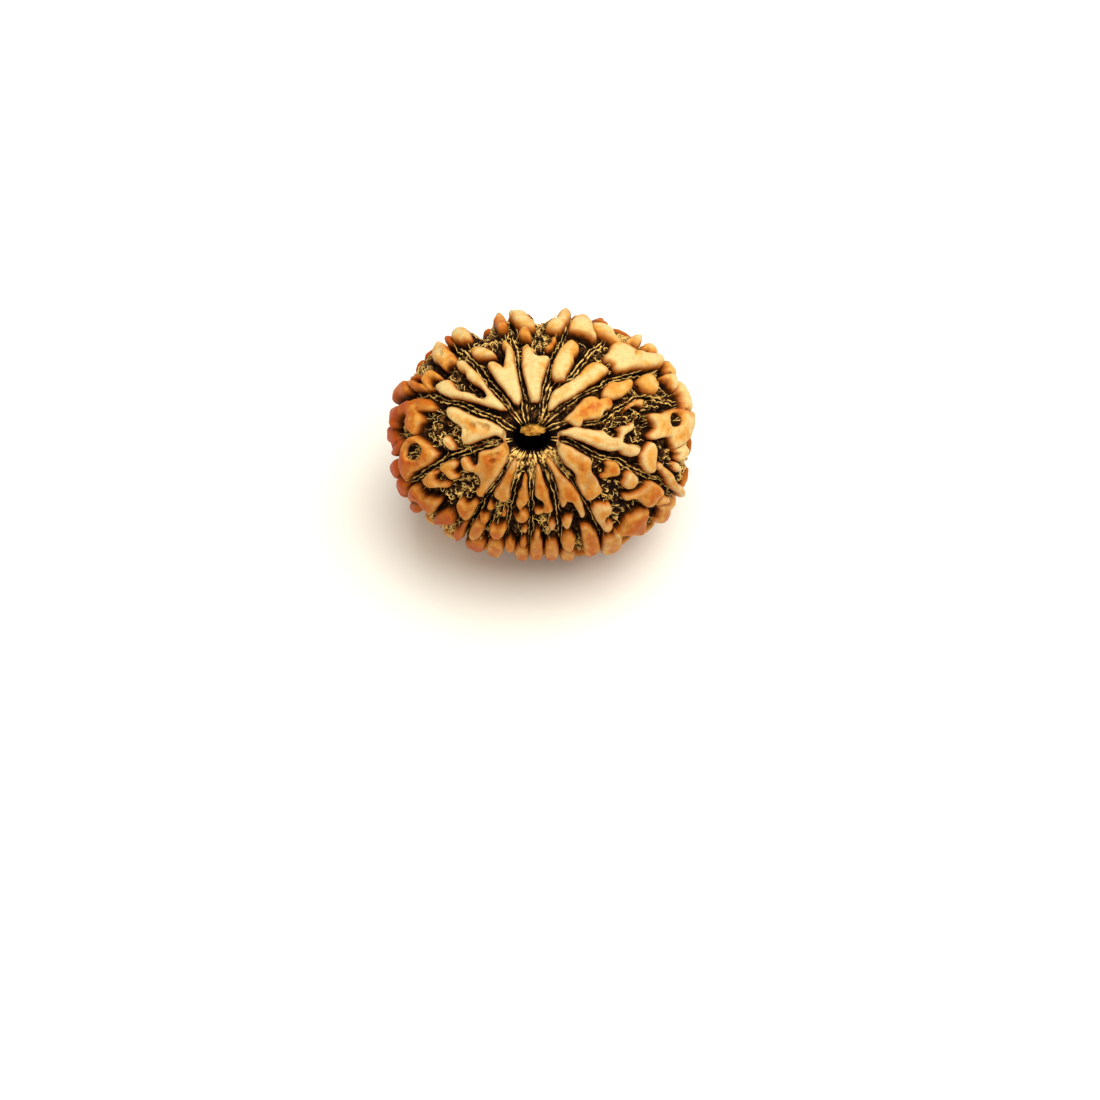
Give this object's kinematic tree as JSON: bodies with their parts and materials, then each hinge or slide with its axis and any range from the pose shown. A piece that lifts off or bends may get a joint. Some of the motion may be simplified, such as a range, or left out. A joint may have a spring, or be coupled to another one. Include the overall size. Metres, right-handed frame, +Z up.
{
  "type": "rudraksha seed",
  "caption": "Oblong rudraksha seed bead with raised golden-brown lobes over a dark fibrous husk, and seams running from a natural through bore.",
  "frame": {"origin": "centre of the bounding box at the base, on the plane of the worn flat that the seed rests on", "axes": "+X along the seed's longest side, +Z up, and the mouth of the bore that the picture shows leans towards -Y, 54 degrees above level"},
  "size_m": [0.0266, 0.022, 0.0215],
  "materials": {
    "seed_husk": "hard dried husk, satin golden-brown lobes over a dark crusty ground with pale fibres"
  },
  "bodies": {
    "root": {"seed": "seed_husk"}
  },
  "joints": []
}
